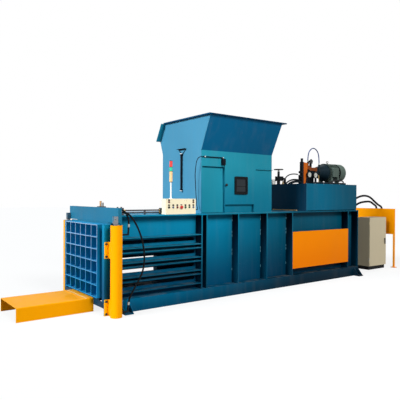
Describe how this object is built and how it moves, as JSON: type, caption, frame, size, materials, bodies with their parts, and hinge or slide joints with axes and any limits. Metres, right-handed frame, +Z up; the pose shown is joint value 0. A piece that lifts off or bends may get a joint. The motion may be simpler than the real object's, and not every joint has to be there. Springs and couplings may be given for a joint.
{
  "type": "recycling baler",
  "caption": "Horizontal recycling baler: ribbed press body with wire slots, rising egg-crate gate, feed hopper, power unit on the roof, control cabinet and bale platform.",
  "frame": {"origin": "on the floor under the middle of the press body, on its centreline", "axes": "+X along the press from the gate to the main cylinder, +Z up; the operator's side, with the controls, is -Y"},
  "size_m": [8.68, 1.858, 2.891],
  "materials": {
    "teal_paint": "semi-gloss paint",
    "yellow_paint": "semi-gloss paint",
    "orange_paint": "semi-gloss paint",
    "dark_paint": "semi-gloss paint",
    "bright_rod": "polished",
    "zinc_steel": "zinc plated",
    "black_plastic": "moulded",
    "cream_paint": "powder coat",
    "green_paint": "satin paint",
    "black_iron": "blackened",
    "red_plastic": "moulded",
    "green_plastic": "moulded",
    "amber_plastic": "translucent",
    "black_rubber": "matte"
  },
  "bodies": {
    "frame": {"base_beam_near": "teal_paint", "base_beam_far": "teal_paint", "chamber_floor": "teal_paint", "side_wall_near": "teal_paint", "side_wall_far": "teal_paint", "side_ribs_near": "teal_paint", "side_ribs_far": "teal_paint", "roof_front": "teal_paint", "roof_rear": "teal_paint", "gate_post_near": "teal_paint", "gate_post_far": "teal_paint", "end_frame": "teal_paint", "hopper_front": "teal_paint", "hopper_near": "teal_paint", "hopper_far": "teal_paint", "hopper_rear": "teal_paint", "oil_tank": "teal_paint", "cylinder_guard_near": "yellow_paint", "cylinder_guard_far": "yellow_paint", "bale_platform": "yellow_paint", "side_cover": "orange_paint", "rear_stand": "orange_paint", "door_cylinder_near": "dark_paint", "door_cylinder_far": "dark_paint", "main_cylinder": "dark_paint", "pump": "dark_paint", "guard_bolts": "zinc_steel", "sensor_mast": "zinc_steel", "limit_switch": "zinc_steel", "roof_pipes": "zinc_steel", "lamp_pole": "zinc_steel", "inspection_window": "black_plastic", "control_box": "cream_paint", "cabinet_shell": "cream_paint", "motor": "green_paint", "valve_block": "black_iron", "return_valve": "black_iron", "lamp_lenses": "amber_plastic", "door_hose_upper": "black_rubber", "door_hose_lower": "black_rubber", "main_hose_upper": "black_rubber", "main_hose_lower": "black_rubber", "pump_hose": "black_rubber", "switch_cable": "black_rubber"},
    "gate": {"door_plate": "teal_paint", "door_grid": "teal_paint", "lifting_beam": "teal_paint", "lift_rod_near": "bright_rod", "lift_rod_far": "bright_rod"},
    "ram": {"ram_head": "teal_paint", "ram_rod": "bright_rod"},
    "access_door": {"access_door": "teal_paint"},
    "cabinet_door": {"cabinet_door": "cream_paint"},
    "cabinet_handle": {"cabinet_handle": "black_plastic"},
    "selector_switch": {"selector_switch": "black_plastic"},
    "stop_button": {"stop_button": "red_plastic"},
    "emergency_stop": {"emergency_stop": "red_plastic"},
    "start_button": {"start_button": "green_plastic"},
    "handwheel": {"handwheel": "black_plastic"},
    "star_knob": {"star_knob": "black_plastic"}
  },
  "joints": [
    {"name": "gate_lift", "type": "slide", "parent": "frame", "child": "gate", "axis": [0, 0, 1], "range_m": [0, 0.9]},
    {"name": "ram_travel", "type": "slide", "parent": "frame", "child": "ram", "axis": [-1, 0, 0], "range_m": [0, 1.6]},
    {"name": "access_door_hinge", "type": "hinge", "parent": "frame", "child": "access_door", "pos_m": [-1.203, -0.522, 1.7], "axis": [0, 0, -1], "range_deg": [0, 100]},
    {"name": "cabinet_door_hinge", "type": "hinge", "parent": "frame", "child": "cabinet_door", "pos_m": [3.463, -0.485, 0.6], "axis": [0, 0, -1], "range_deg": [0, 110]},
    {"name": "cabinet_handle_turn", "type": "hinge", "parent": "cabinet_door", "child": "cabinet_handle", "pos_m": [4.045, -0.5, 0.662], "axis": [0, 1, 0], "range_deg": [0, 90]},
    {"name": "selector_turn", "type": "hinge", "parent": "frame", "child": "selector_switch", "pos_m": [-1.937, -0.715, 1.443], "axis": [0, 1, 0], "range_deg": [-45, 45]},
    {"name": "stop_button_press", "type": "slide", "parent": "frame", "child": "stop_button", "axis": [0, 1, 0], "range_m": [0, 0.005], "stiffness_N_per_m": 300, "springref_m": -0.003},
    {"name": "emergency_stop_press", "type": "slide", "parent": "frame", "child": "emergency_stop", "axis": [0, 1, 0], "range_m": [0, 0.005], "stiffness_N_per_m": 400, "springref_m": -0.003},
    {"name": "start_button_press", "type": "slide", "parent": "frame", "child": "start_button", "axis": [0, 1, 0], "range_m": [0, 0.005], "stiffness_N_per_m": 300, "springref_m": -0.003},
    {"name": "handwheel_turn", "type": "hinge", "parent": "frame", "child": "handwheel", "pos_m": [1.255, 0.14, 2.15], "axis": [0, 0, 1], "continuous": true},
    {"name": "star_knob_turn", "type": "hinge", "parent": "frame", "child": "star_knob", "pos_m": [1.64, -0.37, 2.31], "axis": [0, 1, 0], "continuous": true}
  ]
}
